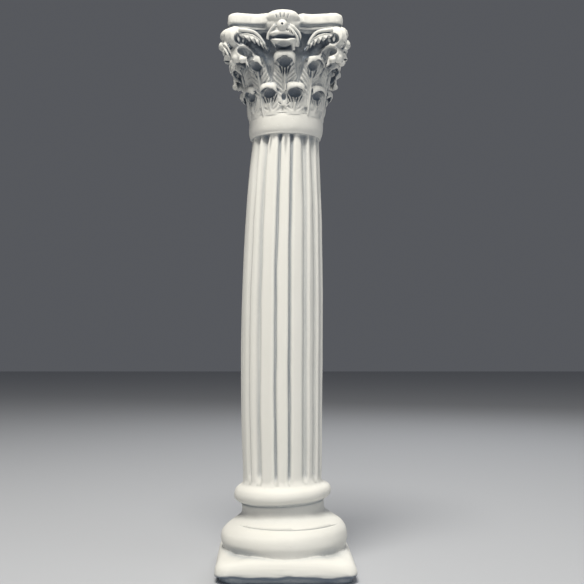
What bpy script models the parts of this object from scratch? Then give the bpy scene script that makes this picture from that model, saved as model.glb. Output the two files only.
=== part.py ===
"""Plaster column: a fluted shaft on a turned base and a square plinth, under a leafy capital.

One plaster cast. Metres, +Z up, origin at the bottom centre, front towards -Y. Each part of it is shaped
upright on the axis, all are joined into one solid, and the solid then gets the slight bow of the real cast.
"""

import math

import bmesh
import bpy

# Plinth
PLINTH_WIDTH = 0.070
PLINTH_HEIGHT = 0.0130
PLINTH_CORNER_RADIUS = 0.0065
PLINTH_DROOP = 0.0018
PLINTH_FOOT_SETBACK = 0.0026
PLINTH_FOOT_BEVEL = 0.0040

# Turned base: two rolls with a hollow neck between them
BASE_HEIGHT = 0.0325
PLINTH_LEDGE = 0.00235
UPPER_ROLL_STAND = 0.00465
BASE_NECK_STAND = 0.0009
NECK_GROOVE_DEPTH = 0.0005

# Fluted shaft
SHAFT_HEIGHT = 0.1760
SHAFT_FOOT_RADIUS = 0.0203
SHAFT_BELLY_RADIUS = 0.0212
SHAFT_NECK_RADIUS = 0.0171
BELLY_SHARE = 0.34
FLUTE_COUNT = 16
FLUTE_DEPTH = 0.0014
BAND_HOLLOW = 0.0004

# Ring between shaft and capital
RING_HEIGHT = 0.0100
RING_STAND = 0.0020

# Capital
BELL_HEIGHT = 0.0411
LEAF_COUNT = 10
LOWER_LEAF_SHARE = 0.358
LOWER_LEAF_STAND = 0.0036
LOWER_LEAF_WIDTH = 0.0118
LOWER_LEAF_CURL = 0.0021
UPPER_LEAF_SHARE = 0.669
UPPER_LEAF_STAND = 0.0068
UPPER_LEAF_WIDTH = 0.0130
UPPER_LEAF_CURL = 0.0025
LEAF_LIFT = 0.0011
CORNER_LEAF_SETBACK = 0.0035
CORNER_LEAF_WIDTH = 0.0110
CORNER_LEAF_CURL = 0.0036
SCROLL_WIDTH = 0.0115
SCROLL_CURL = 0.0050
STEM_RADIUS = 0.0016
BOSS_WIDTH = 0.0165
BOSS_STAND = 0.0064
ABACUS_WIDTH = 0.0566
ABACUS_THICKNESS = 0.0054
ABACUS_SIDE_HOLLOW = 0.0027
ABACUS_OVERHANG = 0.0016
ABACUS_CORNER_RADIUS = 0.0040
ABACUS_EDGE = 0.0010
FILLET_HEIGHT = 0.0015
CAPITAL_TURN = math.radians(-3.0)

# Set of the cast
BOW = 0.0020
BASE_TILT = 0.042

# How far a part runs into the one that carries it
OVERLAP = 0.0020

PLASTER_COLOUR = (0.80, 0.77, 0.71, 1.0)
PLASTER_ROUGHNESS = 0.75

LOWER_ROLL_RADIUS = PLINTH_WIDTH / 2.0 - PLINTH_LEDGE
UPPER_ROLL_RADIUS = SHAFT_FOOT_RADIUS + UPPER_ROLL_STAND
BASE_NECK_RADIUS = SHAFT_FOOT_RADIUS + BASE_NECK_STAND
RING_RADIUS = SHAFT_NECK_RADIUS + RING_STAND
ABACUS_SIDE = ABACUS_WIDTH / 2.0 - ABACUS_SIDE_HOLLOW
BELL_TOP_RADIUS = ABACUS_SIDE - ABACUS_OVERHANG
BOSS_REACH = ABACUS_SIDE + BOSS_STAND
CORNER_REACH = ABACUS_WIDTH / math.sqrt(2.0)
CORNER_LEAF_REACH = CORNER_REACH - CORNER_LEAF_SETBACK

BASE_FOOT = PLINTH_HEIGHT
SHAFT_FOOT = BASE_FOOT + BASE_HEIGHT
SHAFT_TOP = SHAFT_FOOT + SHAFT_HEIGHT
BELL_FOOT = SHAFT_TOP + RING_HEIGHT
ABACUS_FOOT = BELL_FOOT + BELL_HEIGHT
TOP = ABACUS_FOOT + ABACUS_THICKNESS
LOWER_CREST = BELL_FOOT + BELL_HEIGHT * LOWER_LEAF_SHARE
UPPER_CREST = BELL_FOOT + BELL_HEIGHT * UPPER_LEAF_SHARE

SIDES = 32
STRAIGHT_ENOUGH = math.radians(2.0)


def mix(start, end, share):
    return start + (end - start) * share


def smooth_step(value, low, high):
    share = min(max((value - low) / (high - low), 0.0), 1.0)
    return share * share * (3.0 - 2.0 * share)


def polar(angle, radius, height):
    """A point at an angle from the front, positive towards the viewer's right."""
    return (radius * math.sin(angle), -radius * math.cos(angle), height)


def add_piece(bm, name):
    """A closed body of the cast, kept as a helper until all are joined."""
    bmesh.ops.recalc_face_normals(bm, faces=bm.faces)
    mesh = bpy.data.meshes.new(name)
    bm.to_mesh(mesh)
    bm.free()
    piece = bpy.data.objects.new(name, mesh)
    piece.hide_render = True
    piece.display_type = "WIRE"
    helpers.objects.link(piece)
    return piece


def loft(name, rings):
    """A closed body through rings of points with the same count, capped at both ends."""
    bm = bmesh.new()
    rows = [[bm.verts.new(point) for point in ring] for ring in rings]
    for below, above in zip(rows, rows[1:]):
        for i in range(len(below)):
            following = (i + 1) % len(below)
            bm.faces.new((below[i], below[following], above[following], above[i]))
    bm.faces.new(rows[0])
    bm.faces.new(rows[-1])
    return add_piece(bm, name)


def turned(name, profile):
    """A solid of revolution from (radius, height) points, listed from its top to its bottom."""
    mesh = bpy.data.meshes.new(name)
    points = [(radius, 0.0, height) for radius, height in profile]
    mesh.from_pydata(points, [(i, i + 1) for i in range(len(points) - 1)], [])
    outline = bpy.data.objects.new(name + "_outline", mesh)
    bpy.context.scene.collection.objects.link(outline)
    screw = outline.modifiers.new("Turn", "SCREW")
    screw.steps = SIDES
    screw.render_steps = SIDES
    screw.use_merge_vertices = True
    screw.merge_threshold = 0.00001
    graph = bpy.context.evaluated_depsgraph_get()
    bm = bmesh.new()
    bm.from_mesh(bpy.data.meshes.new_from_object(outline.evaluated_get(graph)))
    bpy.data.objects.remove(outline)
    return add_piece(bm, name)


def rounded_square(half_width, corner_radius, height, side_hollow=0.0, droop=0.0):
    """A square ring with round corners; its sides may bend in, and its corners may hang lower."""
    steps = 4
    straight = half_width - corner_radius
    points = []
    for quarter in range(4):
        turn = quarter * math.pi / 2.0
        corner = []
        for i in range(steps + 1):
            angle = i * math.pi / 2.0 / steps
            x = straight + corner_radius * math.cos(angle)
            y = straight + corner_radius * math.sin(angle)
            corner.append((x, y))
        side = []
        for share in (0.5, 0.0, -0.5):
            side.append((straight * share, half_width))
        for x, y in corner + side:
            along = min(abs(x), abs(y)) / straight if straight > 0.0 else 1.0
            inward = side_hollow * max(1.0 - along * along, 0.0)
            if abs(x) > abs(y):
                x -= math.copysign(inward, x)
            else:
                y -= math.copysign(inward, y)
            lower = droop * min(along, 1.0) ** 3
            points.append(
                (
                    x * math.cos(turn) - y * math.sin(turn),
                    x * math.sin(turn) + y * math.cos(turn),
                    height - lower,
                )
            )
    return points


def make_plinth():
    """Soft at its edges, its top falling towards its corners, and cut back at its foot."""
    half = PLINTH_WIDTH / 2.0
    rise = PLINTH_HEIGHT - PLINTH_FOOT_BEVEL
    foot_radius = PLINTH_CORNER_RADIUS - PLINTH_FOOT_SETBACK * 0.5
    rings = [rounded_square(half - PLINTH_FOOT_SETBACK, foot_radius, 0.0)]
    rings.append(rounded_square(half - PLINTH_FOOT_SETBACK * 0.8, foot_radius, PLINTH_FOOT_BEVEL * 0.7))
    for share, inset, droop_share in (
        (0.00, 0.0000, 0.0),
        (0.35, 0.0006, 0.2),
        (0.66, 0.0018, 0.7),
        (0.86, 0.0040, 1.0),
        (0.96, 0.0075, 1.0),
    ):
        rings.append(
            rounded_square(
                half - inset,
                PLINTH_CORNER_RADIUS,
                PLINTH_FOOT_BEVEL + rise * share,
                droop=PLINTH_DROOP * droop_share,
            )
        )
    return loft("plinth", rings)


def make_base():
    foot = BASE_FOOT
    rise = BASE_HEIGHT
    low, neck, high = LOWER_ROLL_RADIUS, BASE_NECK_RADIUS, UPPER_ROLL_RADIUS
    groove = neck - NECK_GROOVE_DEPTH
    sunk = PLINTH_DROOP + OVERLAP
    line = mix(neck, low, 0.60)
    profile = [
        (0.0, foot + rise + OVERLAP * 0.2),
        (SHAFT_FOOT_RADIUS - BAND_HOLLOW, foot + rise),
        (mix(neck, high, 0.60), foot + rise * 0.925),
        (mix(neck, high, 0.94), foot + rise * 0.865),
        (high, foot + rise * 0.810),
        (mix(neck, high, 0.85), foot + rise * 0.735),
        (mix(neck, high, 0.35), foot + rise * 0.668),
        (groove, foot + rise * 0.650),
        (neck, foot + rise * 0.610),
        (mix(neck, low, 0.06), foot + rise * 0.500),
        (mix(neck, low, 0.33), foot + rise * 0.425),
        (line, foot + rise * 0.372),
        (line, foot + rise * 0.360),
        (mix(neck, low, 0.78), foot + rise * 0.315),
        (mix(neck, low, 0.95), foot + rise * 0.230),
        (low, foot + rise * 0.130),
        (mix(neck, low, 0.97), foot + rise * 0.035),
        (mix(neck, low, 0.84), foot - sunk * 0.35),
        (mix(neck, low, 0.60), foot - sunk),
        (0.0, foot - sunk),
    ]
    return turned("base", profile)


def shaft_radius(height):
    """Radius of the shaft over its bands: it swells to the belly and then narrows to the neck."""
    share = (height - SHAFT_FOOT) / SHAFT_HEIGHT
    if share < BELLY_SHARE:
        below = (BELLY_SHARE - share) / BELLY_SHARE
        return SHAFT_BELLY_RADIUS - (SHAFT_BELLY_RADIUS - SHAFT_FOOT_RADIUS) * below**2
    above = (share - BELLY_SHARE) / (1.0 - BELLY_SHARE)
    return SHAFT_BELLY_RADIUS - (SHAFT_BELLY_RADIUS - SHAFT_NECK_RADIUS) * above**2.4


def make_shaft():
    """Bands with a shallow hollow, parted by narrow grooves; a band stands at the front."""
    section = ((0.0, 1.0, 0.0), (0.15, 0.0, 0.0), (0.50, 0.0, 1.0), (0.85, 0.0, 0.0))
    heights = [-OVERLAP / SHAFT_HEIGHT, 0.004, 0.035, 0.20, 0.40, 0.62, 0.82, 0.985]
    heights.append(1.0 + OVERLAP / SHAFT_HEIGHT)
    rings = []
    for share in heights:
        height = SHAFT_FOOT + SHAFT_HEIGHT * share
        radius = shaft_radius(height)
        depth = FLUTE_DEPTH * smooth_step(share, -0.002, 0.03) * (1.0 + 0.5 * smooth_step(share, 0.94, 1.0))
        ring = []
        for flute in range(FLUTE_COUNT):
            for place, groove, hollow in section:
                angle = 2.0 * math.pi * (flute + 0.5 + place) / FLUTE_COUNT
                ring.append(polar(angle, radius - depth * groove - BAND_HOLLOW * hollow, height))
        rings.append(ring)
    return loft("shaft", rings)


def make_ring():
    foot, rise = SHAFT_TOP, RING_HEIGHT
    neck = SHAFT_NECK_RADIUS - RING_STAND * 0.3
    profile = [
        (0.0, foot + rise + OVERLAP * 0.3),
        (mix(neck, RING_RADIUS, 0.45), foot + rise + OVERLAP * 0.2),
        (mix(neck, RING_RADIUS, 0.62), foot + rise * 0.985),
        (mix(neck, RING_RADIUS, 0.92), foot + rise * 0.880),
        (RING_RADIUS, foot + rise * 0.640),
        (mix(neck, RING_RADIUS, 0.88), foot + rise * 0.300),
        (mix(neck, RING_RADIUS, 0.58), foot + rise * 0.080),
        (neck, foot - rise * 0.020),
        (0.0, foot - rise * 0.020),
    ]
    return turned("ring", profile)


def bell_radius(height):
    """The capital's core, hidden behind its leaves: it flares towards the abacus."""
    share = min(max((height - BELL_FOOT) / BELL_HEIGHT, 0.0), 1.0)
    return mix(SHAFT_NECK_RADIUS + RING_STAND * 0.5, BELL_TOP_RADIUS, share**0.9)


def make_bell():
    profile = [(0.0, ABACUS_FOOT + OVERLAP)]
    for share in (1.0, 0.75, 0.5, 0.25, 0.0):
        height = BELL_FOOT + BELL_HEIGHT * share
        profile.append((bell_radius(height), height + (OVERLAP if share == 1.0 else 0.0)))
    profile.append((bell_radius(BELL_FOOT), BELL_FOOT - OVERLAP))
    profile.append((0.0, BELL_FOOT - OVERLAP))
    return turned("bell", profile)


def curled_leaf(name, angle, root, crest, reach, width, curl, body=0.55):
    """A leaf that climbs the bell and curls over at its tip, with a hollow under the curl.

    root and crest are heights, reach is the radius of the curl's outer side, and body is the share of the
    curl that is solid. The front of each ring is the leaf's face and the inside of the curl; the back is
    bedded in the bell and is the curl's top.
    """
    thickness = curl * body
    centre_radius = reach - curl
    centre_height = crest - curl
    stations = []
    for share in (0.0, 0.5, 1.0):
        height = mix(root, centre_height, share)
        bed = bell_radius(height)
        face = mix(bed + LEAF_LIFT, reach - 2.0 * curl + thickness, share**2)
        stations.append((face, height, bed - OVERLAP, height, 0.0))
    bends = (135.0, 75.0, 20.0, -25.0)
    for i, bend in enumerate(bends):
        out, up = math.cos(math.radians(bend)), math.sin(math.radians(bend))
        inner = curl - thickness
        back_radius = centre_radius + curl * out
        if i == 0:
            back_radius = bell_radius(crest) - OVERLAP
        hood = (i + 1) / len(bends)
        face = (centre_radius + inner * out, centre_height + inner * up)
        stations.append((*face, back_radius, centre_height + curl * up, hood))
    rings = []
    for face_radius, face_height, back_radius, back_height, hood in stations:
        half = 0.5 * width * (1.0 - 0.45 * hood**3)
        drop = curl * 1.2 * math.sin(math.pi * min(hood, 0.8))
        ring = []
        for across in (-1.0, -0.55, 0.0, 0.55, 1.0):
            side = abs(across) ** 2.4
            bed = bell_radius(face_height)
            radius = face_radius - side * (face_radius - bed) * mix(0.9, 0.35, hood)
            turn = across * half / max(face_radius, bed)
            ring.append(polar(angle + turn, radius, face_height - drop * side))
        for across in (0.8, 0.0, -0.8):
            side = abs(across) ** 2.4
            bed = bell_radius(back_height) - OVERLAP
            radius = back_radius - side * (back_radius - bed) * 0.35 * min(hood * 2.0, 1.0)
            turn = across * half / max(face_radius, bed)
            ring.append(polar(angle + turn, radius, back_height - drop * side))
        rings.append(ring)
    return loft(name, rings)


def make_leaf_tiers():
    step = 2.0 * math.pi / LEAF_COUNT
    for i in range(LEAF_COUNT):
        curled_leaf(
            f"lower_leaf_{i}",
            CAPITAL_TURN + (i + 0.4) * step,
            BELL_FOOT - OVERLAP * 0.4,
            LOWER_CREST,
            bell_radius(LOWER_CREST) + LOWER_LEAF_STAND,
            LOWER_LEAF_WIDTH,
            LOWER_LEAF_CURL,
        )
        curled_leaf(
            f"upper_leaf_{i}",
            CAPITAL_TURN + i * step,
            mix(BELL_FOOT, LOWER_CREST, 0.5),
            UPPER_CREST,
            bell_radius(UPPER_CREST) + UPPER_LEAF_STAND,
            UPPER_LEAF_WIDTH,
            UPPER_LEAF_CURL,
        )


def stem(name, corner, side):
    """A stem that rises from behind a boss and sweeps out under the abacus to a corner scroll."""
    curve = bpy.data.curves.new(name, "CURVE")
    curve.dimensions = "3D"
    curve.bevel_depth = STEM_RADIUS
    curve.bevel_resolution = 1
    curve.use_fill_caps = True
    spline = curve.splines.new("POLY")
    points = 5
    spline.points.add(points - 1)
    foot = UPPER_CREST - STEM_RADIUS
    for i in range(points):
        share = i / (points - 1)
        turn = corner + side * math.radians(mix(30.0, 5.0, share))
        height = mix(foot, ABACUS_FOOT - STEM_RADIUS, math.sin(share * math.pi / 2.0))
        radius = mix(bell_radius(foot) + STEM_RADIUS * 0.5, CORNER_REACH - STEM_RADIUS * 2.5, share**1.4)
        spline.points[i].co = (*polar(turn, radius, height), 1.0)
        spline.points[i].radius = mix(0.75, 1.0, share)
    tube = bpy.data.objects.new(name, curve)
    bpy.context.scene.collection.objects.link(tube)
    graph = bpy.context.evaluated_depsgraph_get()
    bm = bmesh.new()
    bm.from_mesh(bpy.data.meshes.new_from_object(tube.evaluated_get(graph)))
    bmesh.ops.remove_doubles(bm, verts=bm.verts, dist=0.00001)
    bpy.data.objects.remove(tube)
    return add_piece(bm, name)


def make_corners():
    """At each corner a scroll under the abacus and a smaller curled leaf below it, with two stems."""
    for i in range(4):
        angle = (i + 0.5) * math.pi / 2.0
        curled_leaf(
            f"corner_scroll_{i}",
            angle,
            mix(BELL_FOOT, UPPER_CREST, 0.8),
            ABACUS_FOOT + OVERLAP * 0.1,
            CORNER_REACH,
            SCROLL_WIDTH,
            SCROLL_CURL,
            body=0.68,
        )
        curled_leaf(
            f"corner_leaf_{i}",
            angle,
            LOWER_CREST,
            mix(UPPER_CREST, ABACUS_FOOT, 0.11),
            CORNER_LEAF_REACH,
            CORNER_LEAF_WIDTH,
            CORNER_LEAF_CURL,
            body=0.75,
        )
        for side in (-1.0, 1.0):
            stem(f"stem_{i}_{'left' if side < 0.0 else 'right'}", angle, side)


def make_bosses():
    """A flower boss in the middle of each side, as high as the abacus and hanging below it."""
    steps = 5
    half = BOSS_WIDTH / 2.0
    foot = UPPER_CREST - OVERLAP * 0.25
    for i in range(4):
        angle = CAPITAL_TURN + i * math.pi / 2.0
        rings = []
        for share, reach_share, width_share in (
            (0.00, 0.55, 0.70),
            (0.18, 0.72, 0.80),
            (0.28, 0.50, 0.72),
            (0.45, 0.80, 0.80),
            (0.62, 1.00, 0.72),
            (0.72, 0.86, 0.88),
            (0.85, 1.00, 1.00),
            (1.00, 0.80, 0.95),
        ):
            height = mix(foot, TOP - ABACUS_EDGE * 0.1, share)
            bed = BELL_TOP_RADIUS - OVERLAP
            ring = []
            for k in range(steps + 1):
                sweep = -math.pi / 2.0 + math.pi * k / steps
                x = half * width_share * math.sin(sweep)
                y = -(bed + (BOSS_REACH - bed) * reach_share * math.cos(sweep))
                ring.append(
                    (
                        x * math.cos(angle) - y * math.sin(angle),
                        x * math.sin(angle) + y * math.cos(angle),
                        height,
                    )
                )
            rings.append(ring)
        loft(f"boss_{i}", rings)


def make_abacus():
    """A slab with hollow sides and a fillet under it."""
    half = ABACUS_WIDTH / 2.0
    rings = []
    for inset, height in (
        (ABACUS_OVERHANG, ABACUS_FOOT - FILLET_HEIGHT),
        (ABACUS_OVERHANG, ABACUS_FOOT),
        (0.0, ABACUS_FOOT + ABACUS_EDGE * 0.4),
        (0.0, TOP - ABACUS_EDGE),
        (ABACUS_EDGE, TOP),
    ):
        rings.append(rounded_square(half - inset, ABACUS_CORNER_RADIUS, height, ABACUS_SIDE_HOLLOW))
    return loft("abacus", rings)


def set_of_the_cast(x, height):
    """How far the cast stands off upright: a bow to the left, and a base thicker on its right."""
    share = min(max(height / (SHAFT_TOP + RING_HEIGHT), 0.0), 1.0)
    aside = -BOW * math.sin(math.pi * share**0.75)
    tilt = smooth_step(height, BASE_FOOT - OVERLAP, BASE_FOOT + BASE_HEIGHT * 0.25)
    tilt *= 1.0 - smooth_step(height, SHAFT_FOOT - BASE_HEIGHT * 0.2, SHAFT_FOOT + BASE_HEIGHT * 0.2)
    return aside, BASE_TILT * tilt * x


def cast_column(first):
    """Joins every helper to the first, drops spare points and faces folded flat, and bows the result."""
    helpers.objects.unlink(first)
    bpy.context.scene.collection.objects.link(first)
    union = first.modifiers.new("Join", "BOOLEAN")
    union.operation = "UNION"
    union.solver = "MANIFOLD"
    union.operand_type = "COLLECTION"
    union.collection = helpers
    graph = bpy.context.evaluated_depsgraph_get()
    mesh = bpy.data.meshes.new_from_object(first.evaluated_get(graph))
    mesh.name = "plaster_column"
    bpy.data.objects.remove(first)
    bm = bmesh.new()
    bm.from_mesh(mesh)
    spare = [v for v in bm.verts if len(v.link_edges) == 2 and v.calc_edge_angle(math.pi) < STRAIGHT_ENOUGH]
    bmesh.ops.dissolve_verts(bm, verts=spare)
    bmesh.ops.triangulate(bm, faces=bm.faces)
    same_corners = {}
    for face in bm.faces:
        same_corners.setdefault(frozenset(face.verts), []).append(face)
    folded = [face for faces in same_corners.values() if len(faces) > 1 for face in faces]
    bmesh.ops.delete(bm, geom=folded, context="FACES")
    bm.to_mesh(mesh)
    bm.free()
    for vert in mesh.vertices:
        aside, lift = set_of_the_cast(vert.co.x, vert.co.z)
        vert.co.x += aside
        vert.co.z += lift
    column = bpy.data.objects.new("plaster_column", mesh)
    parts.objects.link(column)
    return column


def plaster():
    material = bpy.data.materials.new("plaster")
    material.use_nodes = True
    shader = material.node_tree.nodes["Principled BSDF"]
    shader.inputs["Base Color"].default_value = PLASTER_COLOUR
    shader.inputs["Roughness"].default_value = PLASTER_ROUGHNESS
    shader.inputs["Metallic"].default_value = 0.0
    return material


for old in list(bpy.data.objects):
    bpy.data.objects.remove(old)
parts = bpy.data.collections.new("plaster_column")
helpers = bpy.data.collections.new("shapes_to_join")
bpy.context.scene.collection.children.link(parts)
bpy.context.scene.collection.children.link(helpers)

make_base()
make_shaft()
make_ring()
make_bell()
make_leaf_tiers()
make_corners()
make_bosses()
make_abacus()
column = cast_column(make_plinth())
column.data.materials.clear()
column.data.materials.append(plaster())
column.data.shade_smooth()
column.data.set_sharp_from_angle(angle=math.radians(40.0))
for helper in list(helpers.objects):
    bpy.data.objects.remove(helper)
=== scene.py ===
import math
import random

import bmesh
import bpy
import numpy as np
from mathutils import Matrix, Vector, noise


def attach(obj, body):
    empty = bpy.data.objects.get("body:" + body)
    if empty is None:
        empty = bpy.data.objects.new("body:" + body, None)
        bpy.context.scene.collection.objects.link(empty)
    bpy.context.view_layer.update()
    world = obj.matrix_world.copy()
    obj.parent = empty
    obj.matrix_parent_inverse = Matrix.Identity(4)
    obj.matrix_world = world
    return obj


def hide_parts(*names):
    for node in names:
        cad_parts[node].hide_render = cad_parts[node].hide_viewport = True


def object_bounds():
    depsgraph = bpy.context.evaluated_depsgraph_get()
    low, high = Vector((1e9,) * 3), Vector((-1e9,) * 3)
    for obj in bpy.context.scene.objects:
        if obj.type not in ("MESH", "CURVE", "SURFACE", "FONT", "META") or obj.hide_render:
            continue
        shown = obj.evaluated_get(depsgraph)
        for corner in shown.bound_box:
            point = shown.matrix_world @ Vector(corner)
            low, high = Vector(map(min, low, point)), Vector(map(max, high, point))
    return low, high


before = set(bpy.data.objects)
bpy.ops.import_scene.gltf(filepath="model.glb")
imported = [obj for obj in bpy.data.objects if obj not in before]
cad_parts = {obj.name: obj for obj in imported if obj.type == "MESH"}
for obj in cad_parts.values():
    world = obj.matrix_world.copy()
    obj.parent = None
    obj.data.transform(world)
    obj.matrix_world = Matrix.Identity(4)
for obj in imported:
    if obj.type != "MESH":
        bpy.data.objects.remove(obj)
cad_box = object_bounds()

# Sizes below are millimetres; a mesh is turned into metres when it is made.
MM = 0.001

# Heights of the column's parts above the foot
PLINTH_TOP = 13.0
SHAFT_FOOT = 45.5
SHAFT_TOP = 221.5
BELL_FOOT = 231.5
ABACUS_FOOT = 272.6
TOP = cad_box[1][2] / MM

# Plinth
PLINTH_HALF = 35.0
PLINTH_CORNER = 6.5
PLINTH_DROOP = 1.3
FOOT_UNEVENNESS = 0.35

# Base
LOWER_ROLL = 32.65
UPPER_ROLL = 24.95
BASE_NECK = 21.2
FOOT_VOXEL = 0.38

# Line cut round the base on the front and on the back; it falls to the right along the base's flank
LINE_RADIUS = 28.15
LINE_HEIGHT = 11.9
LINE_DROP = 1.3
LINE_FLANK = 1.29
LINE_HALF_TURN = 70
LINE_STEP = 7
LINE_WIDTH = 0.45
LINE_DEPTH = 0.8

# Shaft and the ring on it
SHAFT_FOOT_RADIUS = 20.3
SHAFT_BELLY_RADIUS = 21.2
SHAFT_NECK_RADIUS = 17.1
BELLY_SHARE = 0.34
RING_RADIUS = 19.1

# Grooves, counted from the middle of the front to the right
GROOVE_COUNT = 16
GROOVE_DEPTH = 1.5
BAND_HOLLOW = 0.25
# Degrees that the front's grooves stand off their even places, and how much deeper they are cut
PLACED_GROOVES = {-3: 2.25, -2: -1.25, -1: 0.75, 0: -1.75, 1: 1.75, 2: -0.75, 3: -2.75}
SHARP_GROOVES = {-3: 1.1, -2: 1.6, -1: 1.25, 0: 1.3, 1: 1.5, 2: 1.2}
# A groove's half width, its spread to the left and to the right, and how square it is cut
BROAD_CUT = (1.15, (1.9, 0.8), 3.0)
NARROW_CUT = (0.72, (1.0, 1.15), 2.0)
NARROW_GROOVES = (-1, 0)

# Leaves of the capital; a crest is the top of a curl and a reach its outermost radius
LEAF_COUNT = 10
LEAF_STEP = 2.0 * math.pi / LEAF_COUNT
CAPITAL_TURN = math.radians(-3.0)
BELL_TOP_RADIUS = 22.0
LOWER_CREST = 246.2
LOWER_REACH = 24.0
LOWER_WIDTH = 11.6
LOWER_CURL = 2.3
UPPER_CREST = 259.6
UPPER_REACH = 29.0
UPPER_WIDTH = 13.2
UPPER_CURL = 2.9
FRONT_LEAF_RISE = 0.6
# Heights of a rib under an upper leaf, and how far it stands out there
RIB_LINE = ((230.5, 0.4), (236.0, 1.1), (242.0, 1.5), (248.0, 1.9))

# Upper leaves and the gaps after them, counted from the front leaf to the right
PINNED_LEAVES = (0, 5)
SHALLOW_LEAVES = (2, 8)
SLIM_GAPS = (1, 8)
GAP_TURNS = {0: 2.5, 9: -3.0}
CLEFT_LEANS = {0: -0.22, 9: 0.22}
# Corners, each with its side, that are also cut below the scroll
UNDERCUT_CORNERS = ((0, -1.0), (3, 1.0))

# Openings under the curls: radius, fall from the crest, and half sizes across, in depth and up
LOWER_HOLLOW = (21.2, 4.9, (3.6, 4.2, 2.4))
LOWER_STROKE = (20.3, 7.7, (0.34, 1.9, 2.2))
UPPER_HOLLOW = (25.4, 5.3, (3.1, 4.8, 2.7))
SHALLOW_HOLLOW = (25.4, 5.3, (2.6, 2.8, 2.4))
UPPER_STROKE = (22.9, 8.5, (0.34, 2.0, 2.3))
# Angle from one stroke to the next under a lower and an upper curl, and how much more each one leans
LOWER_STROKE_STEP = 0.075
LOWER_STROKE_LEAN = -0.22
UPPER_STROKE_STEP = 0.060
UPPER_STROKE_LEAN = -0.2

# Openings on and between the leaves: radius, height above the foot, and the half sizes
FURROW = (23.0, 246.4, (0.34, 1.3, 7.0))
SEAM = (20.6, 236.0, (0.28, 0.9, 5.0))
BROAD_GAP = (25.6, 260.5, (2.9, 6.4, 9.0))
SLIM_GAP = (25.6, 260.5, (1.8, 3.2, 6.0))
BROAD_CLEFT = (22.9, 251.5, (1.0, 3.0, 6.6))
SLIM_CLEFT = (22.9, 251.5, (0.8, 1.8, 5.4))
PIN_HOLE = (22.0, 238.9, (1.4, 3.8, 2.3))
FROND = (20.5, 232.6, (0.28, 1.3, 1.5))
FROND_RISE = 1.6
FROND_LEAN = -0.85

# Boss on each side
DOME_OUT = 25.2
DOME_HALF = 8.6
DOME_DEPTH = 8.0
STROKE_STEP = 1.8

# Abacus
ABACUS_HALF = 28.3
ABACUS_CORNER = 4.0
ABACUS_HOLLOW = 2.7
PLATE_SWELL = 7.4
MOULDING_SWELL = 3.4
SWELL_WIDTH = 8.0

# Fineness of the capital's skin, and of the whole cast
CAPITAL_VOXEL = 0.30
MOST_TRIANGLES = 194000

# Unevenness of the surface: broad waves, and ripples that are stronger on the foot and the capital
BROAD_WAVE = 0.22
RIPPLE = 0.05
FOOT_RIPPLE = 0.25
CAPITAL_RIPPLE = 0.13

# Set of the cast: the shaft bows to the left, the base tilts, and neck and capital stand a little aside
BOW = 2.0
BASE_TILT = 0.055
NECK_SHIFT = 0.4
CAPITAL_SHIFT = 1.0

# Camera: its place in metres, its lens in millimetres, and in pixels the photo's side and the lens' shift
EYE = (-0.0106, -0.480, 0.118)
FOCAL_LENGTH = 57.1
SENSOR_WIDTH = 36.0
PHOTO_SIDE = 584.0
SHIFT_ACROSS = 27.0
SHIFT_UP = 48.0

# Studio in metres
AIM = (0.0, 0.0, 0.16)
FLOOR_HALF = 3.0


def mix(start, end, share):
    return start + (end - start) * share


def ramp(value, low, high):
    share = np.clip((value - low) / (high - low), 0.0, 1.0)
    return share * share * (3.0 - 2.0 * share)


def polar(angle, radius, height):
    """Points at an angle from the front, positive towards the viewer's right."""
    return np.stack(np.broadcast_arrays(radius * np.sin(angle), -radius * np.cos(angle), height), axis=-1)


def through(points, count):
    """Evenly spread points of a smooth line through a few chosen ones."""
    points = np.array(points, float)
    ends = np.concatenate([2 * points[:1] - points[1:2], points, 2 * points[-1:] - points[-2:-1]])
    spots = np.linspace(0.0, len(points) - 1.000001, count)
    part = spots.astype(int)
    t = (spots - part)[:, None]
    a, b, c, d = ends[part], ends[part + 1], ends[part + 2], ends[part + 3]
    return 0.5 * (2 * b + (c - a) * t + (2 * a - 5 * b + 4 * c - d) * t**2 + (3 * b - a - 3 * c + d) * t**3)


def solid(name, points, faces):
    """An object from points and faces, its faces turned outwards."""
    mesh = bpy.data.meshes.new(name)
    mesh.from_pydata((np.asarray(points) * MM).tolist(), [], faces)
    bm = bmesh.new()
    bm.from_mesh(mesh)
    bmesh.ops.recalc_face_normals(bm, faces=bm.faces)
    bm.to_mesh(mesh)
    bm.free()
    piece = bpy.data.objects.new(name, mesh)
    bpy.context.scene.collection.objects.link(piece)
    return piece


def rings_solid(name, rings):
    """A closed body through rings of points, an array of rings by points by three, with flat ends."""
    rows, count = rings.shape[:2]
    faces = []
    for row in range(rows - 1):
        for i in range(count):
            following = (i + 1) % count
            low, high = row * count, (row + 1) * count
            faces.append((low + i, low + following, high + following, high + i))
    faces.append(tuple(range(count)))
    faces.append(tuple(range((rows - 1) * count, rows * count)))
    return solid(name, rings.reshape(-1, 3), faces)


def turned(name, profile, rows, sides):
    """A solid of revolution through (radius, height) points, from the bottom up."""
    line = through(profile, rows)
    angle = np.linspace(0.0, 2.0 * math.pi, sides, endpoint=False)[None, :]
    return rings_solid(name, polar(angle, np.maximum(line[:, :1], 0.01), line[:, 1:2]))


def sheet_solid(name, face, back):
    """A closed body between two grids of points, as a leaf's face and its back."""
    return rings_solid(name, np.concatenate([face, back[:, ::-1]], axis=1))


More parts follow.
